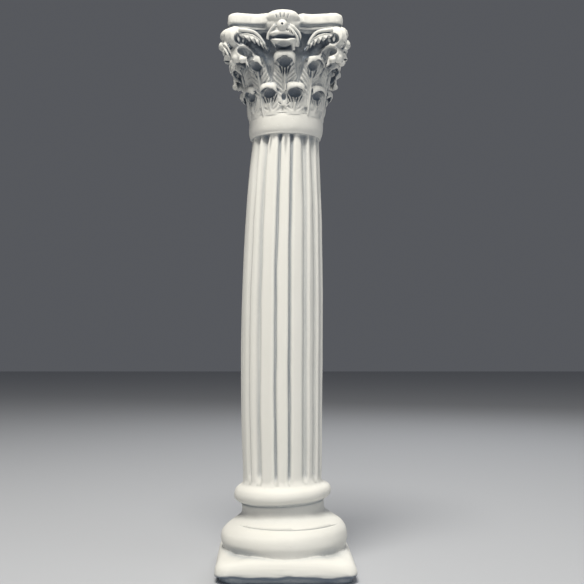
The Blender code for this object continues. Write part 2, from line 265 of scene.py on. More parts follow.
def egg(name, centre, half, turn=0.0, lean=0.0):
    """A round lump with three half sizes: across, in depth and up; leant, then turned about the column."""
    bm = bmesh.new()
    bmesh.ops.create_uvsphere(bm, u_segments=24, v_segments=14, radius=1.0)
    points = []
    for vert in bm.verts:
        x, y, z = vert.co.x * half[0], vert.co.y * half[1], vert.co.z * half[2]
        x, z = x * math.cos(lean) - z * math.sin(lean), x * math.sin(lean) + z * math.cos(lean)
        x, y = x * math.cos(turn) - y * math.sin(turn), x * math.sin(turn) + y * math.cos(turn)
        points.append((x + centre[0], y + centre[1], z + centre[2]))
    faces = [tuple(v.index for v in f.verts) for f in bm.faces]
    bm.free()
    return solid(name, points, faces)


def egg_at(name, angle, radius, height, half, lean=0.0):
    """A lump centred at an angle, radius and height."""
    centre = (radius * math.sin(angle), -radius * math.cos(angle), height)
    return egg(name, centre, half, angle, lean)


def beside(angle, out, aside):
    """A point out along an angle and then aside to its right, as seen from outside."""
    return (
        out * math.sin(angle) + aside * math.cos(angle),
        -out * math.cos(angle) + aside * math.sin(angle),
    )


def lumps_along(angle, number):
    """A maker of lumps that stand out along one angle and aside from it."""

    def lump(name, out, aside, height, half, lean=0.0):
        return egg(f"{name}_{number}", (*beside(angle, out, aside), height), half, angle, lean)

    return lump


def lens(name, centre, half, turn, bend=0.0):
    """A slit with pointed ends, for a mouth: half its width, depth and height; its ends may droop."""
    across = np.linspace(-0.98, 0.98, 21)[:, None]
    around = np.linspace(0.0, 2.0 * math.pi, 14, endpoint=False)[None, :]
    open_part = 1.0 - across**2
    x = half[0] * across
    y = half[1] * open_part**0.4 * np.cos(around)
    z = half[2] * open_part * np.sin(around) - bend * across**2
    c, s = math.cos(turn), math.sin(turn)
    rings = [x * c - y * s + centre[0], x * s + y * c + centre[1], z + centre[2]]
    return rings_solid(name, np.stack(rings, axis=-1))


def strand(name, route, width, thickness, sides=14, steps=40, taper=(1.0, 1.0)):
    """A rounded band along (angle, radius, height) points; its width and thickness follow the taper."""
    line = through(route, steps)
    centre = polar(line[:, 0], line[:, 1], line[:, 2])
    ahead = np.gradient(centre, axis=0)
    ahead /= np.linalg.norm(ahead, axis=1, keepdims=True)
    outward = polar(line[:, 0], np.ones(steps), np.zeros(steps))
    across = np.cross(ahead, outward)
    across /= np.linalg.norm(across, axis=1, keepdims=True)
    outward = np.cross(across, ahead)
    size = np.interp(np.linspace(0.0, 1.0, steps), np.linspace(0.0, 1.0, len(taper)), taper)[:, None, None]
    around = np.linspace(0.0, 2.0 * math.pi, sides, endpoint=False)[None, :, None]
    rings = centre[:, None] + size * (
        across[:, None] * np.cos(around) * width / 2.0 + outward[:, None] * np.sin(around) * thickness / 2.0
    )
    return rings_solid(name, rings)


def evaluated(piece):
    """The piece with its modifiers worked into the mesh."""
    graph = bpy.context.evaluated_depsgraph_get()
    mesh = bpy.data.meshes.new_from_object(piece.evaluated_get(graph))
    piece.modifiers.clear()
    old = piece.data
    piece.data = mesh
    bpy.data.meshes.remove(old)
    return piece


def joined(name, pieces):
    """All pieces as one object, still separate bodies."""
    bm = bmesh.new()
    for piece in pieces:
        bm.from_mesh(piece.data)
        bpy.data.objects.remove(piece)
    mesh = bpy.data.meshes.new(name)
    bm.to_mesh(mesh)
    bm.free()
    whole = bpy.data.objects.new(name, mesh)
    bpy.context.scene.collection.objects.link(whole)
    return whole


def fused(name, pieces, voxel):
    """Overlapping pieces run into one skin, as the mould gives them."""
    whole = joined(name, pieces)
    remesh = whole.modifiers.new("Fuse", "REMESH")
    remesh.mode = "VOXEL"
    remesh.voxel_size = voxel * MM
    return evaluated(whole)


def combined(target, others, operation):
    """Cuts other closed bodies from the target, or joins them to it."""
    group = bpy.data.collections.new("for_" + target.name)
    for other in others:
        group.objects.link(other)
    step = target.modifiers.new("Combine", "BOOLEAN")
    step.operation = operation
    step.solver = "MANIFOLD"
    step.operand_type = "COLLECTION"
    step.collection = group
    evaluated(target)
    for other in others:
        bpy.data.objects.remove(other)
    return target


def without_crumbs(body):
    """Only the cast itself; the cuts leave loose crumbs, which would fall off a real one."""
    bm = bmesh.new()
    bm.from_mesh(body.data)
    left = set(bm.verts)
    largest = set()
    while left:
        reached = set()
        front = [left.pop()]
        while front:
            vert = front.pop()
            reached.add(vert)
            for edge in vert.link_edges:
                other = edge.other_vert(vert)
                if other in left:
                    left.remove(other)
                    front.append(other)
        if len(reached) > len(largest):
            largest = reached
    bmesh.ops.delete(bm, geom=[vert for vert in bm.verts if vert not in largest], context="VERTS")
    bm.to_mesh(body.data)
    bm.free()
    return body


def thinned(body, most):
    """Fewer triangles where the surface is smooth."""
    triangles = sum(len(face.vertices) - 2 for face in body.data.polygons)
    thin = body.modifiers.new("Thin", "DECIMATE")
    thin.ratio = min(1.0, most / triangles)
    return evaluated(body)


def square_ring(half, corner, height, hollow=0.0, droop=0.0, corner_steps=10, side_steps=22, swell=0.0):
    """A square ring of points with round corners.

    Its sides may bend in by the hollow and swell out in their middle, and its corners may droop.
    """
    straight = half - corner
    quarter = []
    for i in range(corner_steps):
        angle = (i + 0.5) * math.pi / 2.0 / corner_steps
        quarter.append((straight + corner * math.cos(angle), straight + corner * math.sin(angle)))
    for i in range(side_steps):
        quarter.append((straight * (1.0 - 2.0 * (i + 0.5) / side_steps), half))
    points = []
    for c, s in ((1, 0), (0, 1), (-1, 0), (0, -1)):
        for x, y in quarter:
            aside = min(abs(x), abs(y))
            along = min(aside / straight, 1.0)
            inward = hollow * (1.0 - along * along) - swell * math.exp(-((aside / SWELL_WIDTH) ** 2))
            if abs(x) > abs(y):
                x -= math.copysign(inward, x)
            else:
                y -= math.copysign(inward, y)
            points.append((x * c - y * s, x * s + y * c, height - droop * along**4))
    return points


def plinth():
    """Square, with soft edges and a top that falls towards its corners; its foot is cut back and rough."""
    # Inset, height and share of the corners' droop
    profile = [
        (2.5, 0.0, 0.0),
        (2.2, 1.4, 0.0),
        (1.7, 2.6, 0.0),
        (0.3, 3.5, 0.0),
        (0.0, 4.4, 0.0),
        (0.3, 6.4, 0.2),
        (0.9, 8.4, 0.5),
        (2.0, 10.2, 0.8),
        (3.8, 11.5, 1.0),
        (6.4, 12.3, 1.0),
        (9.5, 12.7, 1.0),
    ]
    rows = []
    for inset, height, fall in through(profile, 34):
        rows.append(square_ring(PLINTH_HALF - inset, PLINTH_CORNER, height, droop=PLINTH_DROOP * fall))
    points = np.array(rows)
    x, y, height = points[..., 0], points[..., 1], points[..., 2]
    wave = np.sin(x * 0.21 + 0.8) + 0.6 * np.sin(x * 0.47 + y * 0.33)
    points[..., 2] += FOOT_UNEVENNESS * wave * ramp(height, 1.0, 2.6) * (1.0 - ramp(height, 4.0, 7.5))
    return rings_solid("plinth", points)


def base():
    """Two rolls with a hollow neck between them; its foot reaches into the plinth."""
    low, neck, high = LOWER_ROLL, BASE_NECK, UPPER_ROLL
    profile = [
        (low - 1.4, PLINTH_TOP - 5.0),
        (low - 1.2, PLINTH_TOP - 2.0),
        (low - 0.8, PLINTH_TOP + 0.4),
        (low, PLINTH_TOP + 3.6),
        (mix(neck, low, 0.95), PLINTH_TOP + 7.5),
        (mix(neck, low, 0.78), PLINTH_TOP + 10.2),
        (mix(neck, low, 0.60), PLINTH_TOP + 11.9),
        (mix(neck, low, 0.35), PLINTH_TOP + 14.0),
        (mix(neck, low, 0.06), PLINTH_TOP + 16.7),
        (neck, PLINTH_TOP + 19.2),
        (neck, PLINTH_TOP + 21.7),
        (neck - 0.7, PLINTH_TOP + 22.5),
        (mix(neck, high, 0.35), PLINTH_TOP + 23.1),
        (mix(neck, high, 0.85), PLINTH_TOP + 24.6),
        (high, PLINTH_TOP + 26.3),
        (mix(neck, high, 0.94), PLINTH_TOP + 28.2),
        (mix(neck, high, 0.60), PLINTH_TOP + 30.1),
        (SHAFT_FOOT_RADIUS - 0.5, PLINTH_TOP + 32.3),
    ]
    return turned("base", profile, 110, 128)


def foot_chips():
    """Four small breaks at the foot of the plinth's front left corner, each a place and a size."""
    places = (
        (-34.6, -33.4, 1.6, 2.3),
        (-32.0, -35.0, 0.8, 2.0),
        (-35.4, -30.8, 0.9, 1.9),
        (-29.0, -34.8, 0.2, 1.5),
    )
    chips = []
    for k, (x, y, z, size) in enumerate(places):
        chips.append(egg(f"chip_{k}", (x, y, z), (size, size * 0.9, size * 0.8), 0.4 * k, 0.3))
    return chips


def base_lines():
    """The line cut round the base, one length on the front and one on the back."""
    lines = []
    for k in range(2):
        route = []
        for degrees in range(-LINE_HALF_TURN, LINE_HALF_TURN + 1, LINE_STEP):
            turn = k * math.pi + math.radians(degrees)
            drop = LINE_DROP * math.sin(turn)
            route.append((turn, LINE_RADIUS + LINE_FLANK * drop, PLINTH_TOP + LINE_HEIGHT - drop))
        taper = (0.2, 0.8, 1.0, 0.8, 0.2)
        lines.append(strand(f"line_{k}", route, LINE_WIDTH, LINE_DEPTH, sides=8, steps=120, taper=taper))
    return lines


def plinth_and_base():
    """Plinth and base in one skin, chipped at the foot and with a line cut round the base."""
    foot = fused("foot", [plinth(), base()], FOOT_VOXEL)
    return combined(foot, foot_chips() + base_lines(), "DIFFERENCE")


def shaft_radius(share):
    """The shaft's radius at a share of its height, widest at the belly."""
    below = np.clip((BELLY_SHARE - share) / BELLY_SHARE, 0.0, 1.0)
    above = np.clip((share - BELLY_SHARE) / (1.0 - BELLY_SHARE), 0.0, 2.0)
    radius = SHAFT_BELLY_RADIUS - (SHAFT_BELLY_RADIUS - SHAFT_FOOT_RADIUS) * below**2
    return radius - (SHAFT_BELLY_RADIUS - SHAFT_NECK_RADIUS) * above**2.4


def groove_tracks(draw, share, radius):
    """The angle of each groove up the shaft, which sways a little, and of the first one a full turn on."""
    pitch = 2.0 * math.pi / GROOVE_COUNT
    half_count = GROOVE_COUNT // 2
    tracks = []
    for k in range(-half_count, half_count):
        offset = math.radians(PLACED_GROOVES.get(k, draw.uniform(-2.0, 2.0)))
        sway = 0.0
        for waves in (1.3, 2.9, 5.7):
            strength = draw.uniform(0.08, 0.3) / waves**0.4
            start = draw.uniform(0.0, 6.3)
            sway = sway + strength * np.sin(waves * math.pi * share * 2.0 + start)
        tracks.append((k + 0.5) * pitch + offset + 0.55 * sway / radius)
    tracks.append(tracks[0] + 2.0 * math.pi)
    return tracks


def shaft():
    """Hollowed bands between narrow hand-cut grooves that wander a little."""
    draw = random.Random(3)
    share = np.linspace(-0.02, 1.012, 110)[:, None]
    height = SHAFT_FOOT + (SHAFT_TOP - SHAFT_FOOT) * share
    radius = shaft_radius(share)
    tracks = groove_tracks(draw, share, radius)
    # Places between the middles of two bands, closer together at the groove
    spots = np.linspace(-0.5, 0.5, 13)[:-1]
    spots = np.sign(spots) * np.abs(spots * 2.0) ** 1.5 / 2.0
    # The grooves run out at the shaft's foot and end in a wider and deeper pocket under the ring
    entry = ramp(share, -0.002, 0.03)
    pocket = ramp(share, 0.965, 1.0)
    columns = []
    for index in range(GROOVE_COUNT):
        k = index - GROOVE_COUNT // 2
        here = tracks[index]
        before = tracks[index - 1] if index else tracks[GROOVE_COUNT - 1] - 2.0 * math.pi
        after = tracks[index + 1]
        half_width, spread, squareness = NARROW_CUT if k in NARROW_GROOVES else BROAD_CUT
        depth = GROOVE_DEPTH * SHARP_GROOVES.get(k, draw.uniform(0.75, 1.15)) * entry * (1.0 + 0.3 * pocket)
        width = half_width * (1.0 + 0.4 * pocket)
        for spot in spots:
            gap = (after - here) if spot > 0.0 else (here - before)
            away = np.abs(gap * spot) * radius
            groove = np.exp(-((away / (width * spread[int(spot > 0.0)])) ** squareness))
            hollow = BAND_HOLLOW * entry * ramp(np.abs(spot) * 2.0, 0.35, 1.0)
            lip = 0.06 * entry * np.exp(-(((away - 1.35 * width) / 0.55) ** 2))
            columns.append(polar(here + gap * spot, radius - depth * groove - hollow + lip, height)[:, 0])
    return rings_solid("shaft", np.stack(columns, axis=1))


def bell_radius(height):
    """The radius of the capital's body behind its leaves."""
    share = np.clip((height - BELL_FOOT) / (ABACUS_FOOT - BELL_FOOT), 0.0, 1.0)
    return mix(SHAFT_NECK_RADIUS + 1.0, BELL_TOP_RADIUS, share**0.9)


def curled_leaf(name, angle, root, crest, reach, width, curl, body=0.5, tiers=60, veins=2.6, channel=0.5):
    """An acanthus leaf that climbs the bell and curls over at its tip, with a hollow under the curl.

    Half of its tiers climb to the middle of the curl and half go over it. Curl is the radius of the
    curl, body the share of it that is solid, veins their spacing and channel the height of the edges.
    """
    columns = 41
    along = np.linspace(0.0, 1.0, tiers)[:, None]
    across = np.linspace(-1.0, 1.0, columns)[None, :]
    rising = along <= 0.5
    climb = np.clip(along / 0.5, 0.0, 1.0)
    hood = np.clip((along - 0.5) / 0.5, 0.0, 1.0)
    hood_fall = ramp(hood, 0.0, 0.6)

    # The middle line of the face and of the back, up the bell and round the curl
    thickness = curl * body
    inner = curl - thickness
    centre_radius, centre_height = reach - curl, crest - curl
    climbing = mix(root, centre_height, climb)
    bend = np.radians(mix(180.0, -32.0, hood))
    face_height = np.where(rising, climbing, centre_height + inner * np.sin(bend))
    flare = mix(bell_radius(climbing) + 1.2, reach - 2.0 * curl + thickness, climb**2)
    face_radius = np.where(rising, flare, centre_radius + inner * np.cos(bend))
    back_height = np.where(rising, climbing, centre_height + curl * np.sin(bend))
    back_bed = bell_radius(back_height) - 2.0
    back_radius = mix(back_bed, centre_radius + curl * np.cos(bend), ramp(hood, 0.0, 0.45))

    # Across the leaf: its sides fall back to the bell, and the curl droops towards them
    bed = bell_radius(face_height)
    side = np.abs(across) ** mix(2.4, 4.4, hood_fall)
    half = 0.5 * width * (1.0 - 0.12 * ramp(hood, 0.45, 1.0))
    half = half * (1.0 + 0.05 * np.sin(along * 26.0) * (1.0 - hood))
    drop = curl * 1.35 * hood_fall * side
    turn = across * half / np.maximum(face_radius, bed)
    radius = face_radius - side * (face_radius - bed) * mix(0.85, 0.35, hood_fall)
    height = face_height - drop

    # Carving of the face: raised edges, slanting veins and a midrib between two grooves
    from_middle = np.abs(across)
    raised_edge = channel * np.exp(-(((from_middle - 0.78) / 0.2) ** 2))
    slope = (height - 0.9 * from_middle * half) / veins
    groove = -np.exp(-((np.abs((slope + 0.5) % 1.0 - 0.5) * veins / 0.38) ** 2))
    rib = np.exp(-((across * half / 0.5) ** 2))
    midrib = 0.7 * rib - np.exp(-((np.abs(across * half) - 0.95) / 0.36) ** 2)
    reach_in = ramp(from_middle, 0.12, 0.3) * (1.0 - ramp(from_middle, 0.8, 0.95))
    relief = raised_edge + 1.2 * groove * reach_in + 0.9 * midrib
    teeth = np.cos(across * 17.0)
    radius = radius + relief * (1.0 - hood_fall) * ramp(along, 0.04, 0.15)
    radius = radius + 0.2 * teeth * ramp(hood, 0.2, 0.6) * hood_fall
    back = back_radius - side * (back_radius - back_bed) * 0.35 * ramp(hood, 0.0, 0.5)
    back = back + 0.10 * teeth * ramp(hood, 0.5, 0.9)
    face = polar(angle + turn, radius, height)
    return sheet_solid(name, face, polar(angle + turn * 0.97, back, back_height - drop))


def leaf_places():
    """Angle and crest of each lower leaf and of the upper leaf before it, a little off even, as carved."""
    draw = random.Random(7)
    places = []
    for i in range(LEAF_COUNT):
        lower = (i + 0.4) * LEAF_STEP + CAPITAL_TURN + math.radians(draw.uniform(-1.2, 1.2))
        lower_crest = LOWER_CREST + draw.uniform(-0.5, 0.3)
        upper = i * LEAF_STEP + CAPITAL_TURN
        upper_crest = UPPER_CREST + FRONT_LEAF_RISE
        if i > 0:
            upper += math.radians(draw.uniform(-1.2, 1.2))
            upper_crest = UPPER_CREST + draw.uniform(-0.4, 0.3)
        places.append((lower, lower_crest, upper, upper_crest))
    return places


def leaf_tiers():
    """Two rows of ten leaves, with ribs under the upper ones that aren't pinned."""
    lower_form = (LOWER_REACH, LOWER_WIDTH, LOWER_CURL)
    upper_form = (UPPER_REACH, UPPER_WIDTH, UPPER_CURL)
    fine = {"tiers": 130, "channel": 0.9, "veins": 2.3}
    pieces = []
    for i, (lower, lower_crest, upper, upper_crest) in enumerate(leaf_places()):
        pieces.append(curled_leaf(f"lower_{i}", lower, BELL_FOOT - 1.0, lower_crest, *lower_form))
        pieces.append(curled_leaf(f"upper_{i}", upper, BELL_FOOT + 3.0, upper_crest, *upper_form, **fine))
        if i not in PINNED_LEAVES:
            rib = [(upper, float(bell_radius(height)) + stand, height) for height, stand in RIB_LINE]
            pieces.append(strand(f"rib_{i}", rib, 1.1, 2.0, sides=10, steps=24))
    return pieces


def under_curl(name, angle, crest, opening, lean=0.0):
    """An opening at its own fall from a leaf's crest."""
    radius, fall, half = opening
    return egg_at(name, angle, radius, crest - fall, half, lean)


def leaf_openings():
    """What is cut out under the leaves' curls, along their middles and deep between the upper leaves."""
    cuts = []
    for i, (lower, lower_crest, upper, upper_crest) in enumerate(leaf_places()):
        cuts.append(under_curl(f"lower_hollow_{i}", lower, lower_crest, LOWER_HOLLOW))
        for k in range(-2, 3):
            turn, lean = lower + k * LOWER_STROKE_STEP, k * LOWER_STROKE_LEAN
            cuts.append(under_curl(f"lower_stroke_{i}_{k}", turn, lower_crest, LOWER_STROKE, lean))
        shallow = i in SHALLOW_LEAVES
        hollow = SHALLOW_HOLLOW if shallow else UPPER_HOLLOW
        cuts.append(under_curl(f"upper_hollow_{i}", upper, upper_crest, hollow))
        for k in () if shallow else (-1.5, -0.5, 0.5, 1.5):
            turn, lean = upper + k * UPPER_STROKE_STEP, k * UPPER_STROKE_LEAN
            cuts.append(under_curl(f"upper_stroke_{i}_{k}", turn, upper_crest, UPPER_STROKE, lean))
        for side in (-1.0, 1.0):
            cuts.append(egg_at(f"furrow_{i}_{side}", upper + side * 0.85 / 23.5, *FURROW))
            cuts.append(egg_at(f"seam_{i}_{side}", upper + side * 1.25 / 20.0, *SEAM))
        between = (i + 0.5) * LEAF_STEP + CAPITAL_TURN + math.radians(GAP_TURNS.get(i, 0.0))
        gap, cleft = (SLIM_GAP, SLIM_CLEFT) if i in SLIM_GAPS else (BROAD_GAP, BROAD_CLEFT)
        cuts.append(egg_at(f"gap_{i}", between, *gap))
        cuts.append(egg_at(f"cleft_{i}", between, *cleft, CLEFT_LEANS.get(i, 0.0)))
    return cuts


def pinned_feet():
    """A small oval hole at the foot of each pinned leaf, with three pairs of short strokes below it."""
    radius, foot, half = FROND
    cuts = []
    for i in PINNED_LEAVES:
        middle = (i - 0.05) * LEAF_STEP + CAPITAL_TURN
        cuts.append(egg_at(f"pin_hole_{i}", middle, *PIN_HOLE))
        for k in range(3):
            for side in (-1.0, 1.0):
                place = (middle + side * (1.5 + 0.3 * k) / 19.6, radius, foot + FROND_RISE * k)
                cuts.append(egg_at(f"frond_{i}_{k}_{side}", *place, half, FROND_LEAN * side))
    return cuts


def spray(name, angle, side):
    """A thin leaf that fans from beside a boss to a corner under its stem, toothed along its lower edge."""
    rows, columns = 60, 9
    along = np.linspace(0.0, 1.0, rows)[:, None]
    down = np.linspace(0.0, 1.0, columns)[None, :]
    turn = angle + side * np.radians(mix(24.0, 5.0, along))
    top = 261.8 + 6.0 * np.sin(np.clip(along * 1.4, 0.0, 1.0) * math.pi / 2.0)
    teeth = np.abs((along * 6.0) % 1.0 - 0.5) * 2.0
    width = (2.2 + 2.2 * np.sin(math.pi * along)) * (0.55 + 0.6 * teeth)
    radius = mix(28.0, 37.0, along**1.5) - 1.9 * down**2 + 0.35 * np.cos(down * 9.0)
    height = top - width * down
    turn = turn + side * 0.05 * down
    face = polar(turn, radius, height)
    return sheet_solid(name, face, polar(turn, radius - 1.3, height + 0.2))


def stem(name, angle, side):
    """A round stem that rises from beside a boss and runs out to a corner under the abacus."""
    start = angle + side * math.radians(23.0)
    end = angle + side * math.radians(6.0)
    route = []
    for share in (0.0, 0.12, 0.3, 0.5, 0.75, 1.0):
        rise = 262.6 + 6.6 * math.sin(min(share * 1.5, 1.0) * math.pi / 2.0)
        route.append((mix(start, end, share), mix(27.4, 36.5, share**1.5), rise))
    return strand(name, route, 1.9, 2.2, taper=(0.7, 1.1))


def corner(i):
    """A corner under the abacus: a rolled scroll open at its sides and a curled leaf with a knobbed tip.

    Returns its body, what is cut from it, and the stems, sprays and curls that are added after the cuts.
    """
    angle = (i + 0.5) * math.pi / 2.0
    lump = lumps_along(angle, i)
    scroll_leaf = (angle, UPPER_CREST - 6.0, ABACUS_FOOT - 0.8, 40.3, 10.5, 5.2)
    corner_leaf = (angle, BELL_FOOT + 15.0, 263.2, 37.1, 12.5, 4.6)
    pieces = [
        lump("scroll", 34.2, 0.0, 267.0, (4.7, 5.4, 5.4)),
        curled_leaf(f"scroll_leaf_{i}", *scroll_leaf, body=0.45, channel=0.3),
        curled_leaf(f"corner_leaf_{i}", *corner_leaf, body=0.34, channel=0.4),
        lump("tip", 35.4, 0.0, 256.4, (2.3, 2.2, 2.4)),
    ]
    cuts, curls = [], []
    for side in (-1.0, 1.0):
        pieces.append(lump(f"knob_{side}", 34.6, side * 3.4, 255.0, (1.7, 1.8, 1.6)))
        cuts.append(lump(f"pocket_{side}", 36.4, side * 5.2, 264.8, (4.0, 3.4, 2.9)))
        cuts.append(lump(f"pocket_end_{side}", 32.6, side * 5.8, 264.6, (3.8, 2.4, 2.2)))
        if (i, side) in UNDERCUT_CORNERS:
            cuts.append(lump(f"under_{side}", 33.4, side * 5.5, 259.2, (5.0, 4.6, 2.6)))
        cuts.append(lump(f"deep_{side}", 25.4, side * 9.6, 261.4, (6.0, 8.2, 4.2)))
        curls.append(stem(f"stem_{i}_{side}", angle, side))
        curls.append(spray(f"spray_{i}_{side}", angle, side))
        curls.append(lump(f"curl_{side}", 35.6, side * 2.3, 266.4, (0.8, 1.0, 2.6), 0.2 * side))
        curls.append(lump(f"curl_low_{side}", 33.2, side * 3.4, 265.6, (0.7, 0.8, 2.2), -0.3 * side))
    return pieces, cuts, curls


def boss_cords(i, angle):
    """Cords that hang from the bud on both sides of the lips, through points aside, out and up."""
    left = ((-3.4, 31.0, 270.8), (-6.6, 29.6, 268.0), (-7.6, 28.4, 264.4), (-6.4, 27.4, 261.2))
    right = ((3.4, 31.0, 270.8), (7.2, 29.6, 268.2), (8.6, 28.4, 264.6), (7.6, 27.4, 261.2))
    inner = ((3.0, 31.2, 269.4), (6.0, 30.4, 266.6), (6.9, 29.4, 263.8), (5.8, 28.0, 261.4))
    left_foot = ((-5.4, 29.2, 263.8), (-5.0, 28.2, 262.2), (-4.8, 26.8, 260.0))
    right_foot = ((4.8, 29.0, 263.4), (4.6, 28.0, 262.0), (4.5, 26.8, 260.0))
    cords = []
    for name, width, thickness, route in (
        ("left_cord", 1.7, 2.0, left),
        ("right_cord", 1.9, 2.0, right),
        ("inner_cord", 1.4, 1.8, inner),
        ("left_foot", 1.8, 1.8, left_foot),
        ("right_foot", 1.8, 1.8, right_foot),
    ):
        line = [(angle + aside / out, out, height) for aside, out, height in route]
        cords.append(strand(f"{name}_{i}", line, width, thickness, sides=10, steps=24))
    return cords


def boss(i):
    """The flower in the middle of a side: a dome flush with the top, a pierced bud, and two lips below."""
    angle = i * math.pi / 2.0 + CAPITAL_TURN
    lump = lumps_along(angle, i)
    pieces = [
        lump("dome", DOME_OUT, 0.0, 275.4, (DOME_HALF, DOME_DEPTH, 4.6)),
        lump("dome_foot", 25.4, 0.0, 272.4, (DOME_HALF, 6.1, 5.4)),
        lump("bud", 31.5, 0.0, 270.4, (2.7, 2.7, 2.6)),
        lump("brow", 28.4, 0.0, 268.6, (4.4, 3.9, 3.4)),
        lump("upper_lip", 28.6, 0.0, 267.0, (6.4, 3.9, 2.3)),
        lump("heart", 24.8, 0.0, 265.6, (5.8, 4.4, 4.2)),
        lens(f"lower_lip_{i}", (*beside(angle, 28.6, 0.0), 263.1), (6.5, 3.5, 1.9), angle, -1.3),
    ]
    pieces += boss_cords(i, angle)
    cuts = [
        lump("bud_hole", 34.0, 0.0, 270.4, (0.5, 1.8, 0.5)),
        lens(f"mouth_{i}", (*beside(angle, 31.8, 0.0), 265.0), (5.1, 4.6, 1.25), angle, -0.5),
        lump("under_lip", 30.2, 0.0, 261.8, (3.4, 3.4, 1.1)),
    ]
    for k in range(6):
        aside = STROKE_STEP * (k - 2.5)
        depth = 0.9 - 0.1 * abs(k - 2.5)
        out = DOME_OUT + DOME_DEPTH * math.sqrt(1.0 - (aside / DOME_HALF) ** 2)
        height = 274.8 - 0.08 * aside**2
        cuts.append(lump(f"stroke_{k}", out, aside, height, (0.3, depth, 1.6), -0.13 * aside))
    for k in range(3):
        cuts.append(lump(f"lip_stroke_{k}", 31.0, 2.3 + 0.95 * k, 267.9 - 0.3 * k, (0.26, 1.3, 1.1), 0.45))
    return pieces, cuts


def abacus():
    """A thin moulding and the plate on it, both swelling out in the middle of each side for the boss."""
    rows = []
    for inset, height in (
        (2.6, ABACUS_FOOT - 4.0),
        (2.4, ABACUS_FOOT - 2.6),
        (1.3, ABACUS_FOOT - 2.4),
        (1.2, ABACUS_FOOT - 1.2),
        (1.9, ABACUS_FOOT - 1.0),
        (1.8, ABACUS_FOOT - 0.1),
        (0.3, ABACUS_FOOT + 0.1),
        (0.0, ABACUS_FOOT + 0.7),
        (0.1, TOP - 1.7),
        (0.5, TOP - 0.6),
        (1.3, TOP - 0.1),
        (2.6, TOP),
    ):
        swell = PLATE_SWELL if height > ABACUS_FOOT else MOULDING_SWELL
        half = ABACUS_HALF - inset
        rows.append(square_ring(half, ABACUS_CORNER, height, ABACUS_HOLLOW, side_steps=48, swell=swell))
    return rings_solid("abacus", np.array(rows))


def ring_and_bell():
    """The ring round the shaft's neck, and the body that carries the leaves."""
    neck = SHAFT_NECK_RADIUS
    ring = [
        (0.0, SHAFT_TOP - 0.2),
        (neck - 0.6, SHAFT_TOP - 0.2),
        (mix(neck, RING_RADIUS, 0.45), SHAFT_TOP + 0.5),
        (mix(neck, RING_RADIUS, 0.85), SHAFT_TOP + 2.4),
        (RING_RADIUS, SHAFT_TOP + 5.6),
        (mix(neck, RING_RADIUS, 0.93), SHAFT_TOP + 8.6),
        (mix(neck, RING_RADIUS, 0.62), SHAFT_TOP + 9.9),
        (neck + 0.6, SHAFT_TOP + 10.2),
        (0.0, SHAFT_TOP + 10.4),
    ]
    heights = np.linspace(BELL_FOOT - 2.0, ABACUS_FOOT + 2.0, 30)
    bell = [(float(bell_radius(height)), float(height)) for height in heights]
    return [turned("ring", ring, 80, 160), turned("bell", bell, 60, 160)]


def capital():
    """The capital and the ring under it, fused and then cut for the small dark openings."""
    pieces = ring_and_bell() + [abacus()] + leaf_tiers()
    cuts = leaf_openings()
    curls = []
    for i in range(4):
        corner_pieces, corner_cuts, corner_curls = corner(i)
        boss_pieces, boss_cuts = boss(i)
        pieces += corner_pieces + boss_pieces
        cuts += corner_cuts + boss_cuts
        curls += corner_curls
    cuts += pinned_feet()
    # A block that takes off what stands above the flat top
    above = [square_ring(40.0, 2.0, height, corner_steps=3, side_steps=3) for height in (TOP, TOP + 12.0)]
    cuts.append(rings_solid("above", np.array(above)))
    body = fused("capital", pieces, CAPITAL_VOXEL)
    body = combined(body, cuts, "DIFFERENCE")
    return combined(body, curls, "UNION")


def cast():
    """Plinth, base, shaft and capital as one body."""
    whole = combined(capital(), [plinth_and_base(), shaft()], "UNION")
    return thinned(without_crumbs(whole), MOST_TRIANGLES)


def settle(column):
    """The small unevenness of a hand-finished surface, then the bow and tilt of the cast."""
    mesh = column.data
    count = len(mesh.vertices)
    points = np.empty(count * 3, np.float32)
    mesh.vertices.foreach_get("co", points)
    normals = np.empty(count * 3, np.float32)
    mesh.vertex_normals.foreach_get("vector", normals)
    points = points.reshape(-1, 3).astype(float) / MM
    normals = normals.reshape(-1, 3)
    wave = np.array([noise.noise(Vector(p) * 0.11) for p in points])
    ripple = np.array([noise.noise(Vector(p) * 0.6 + Vector((9.0, 2.0, 5.0))) for p in points])
    height = points[:, 2]
    rough = RIPPLE + FOOT_RIPPLE * (1.0 - ramp(height, 2.0, 8.0))
    rough = rough + CAPITAL_RIPPLE * ramp(height, BELL_FOOT, BELL_FOOT + 6.0)
    points += normals * (BROAD_WAVE * wave + rough * ripple)[:, None] * ramp(height, 0.3, 1.5)[:, None]
    share = np.clip(height / BELL_FOOT, 0.0, 1.0)
    tilt = ramp(height, PLINTH_TOP - 3.0, PLINTH_TOP + 12.0)
    tilt = tilt * (1.0 - ramp(height, SHAFT_FOOT - 6.5, SHAFT_FOOT + 6.5))
    points[:, 2] += BASE_TILT * tilt * points[:, 0]
    points[:, 0] -= BOW * np.sin(math.pi * share**0.75)
    points[:, 0] += NECK_SHIFT * ramp(height, SHAFT_TOP - 20.0, BELL_FOOT)
    points[:, 0] -= CAPITAL_SHIFT * ramp(height, 255.0, ABACUS_FOOT)
    low = np.array(cad_box[0]) / MM
    high = np.array(cad_box[1]) / MM
    points = np.clip(points, low, high)
    mesh.vertices.foreach_set("co", (points * MM).astype(np.float32).reshape(-1))
    mesh.update()


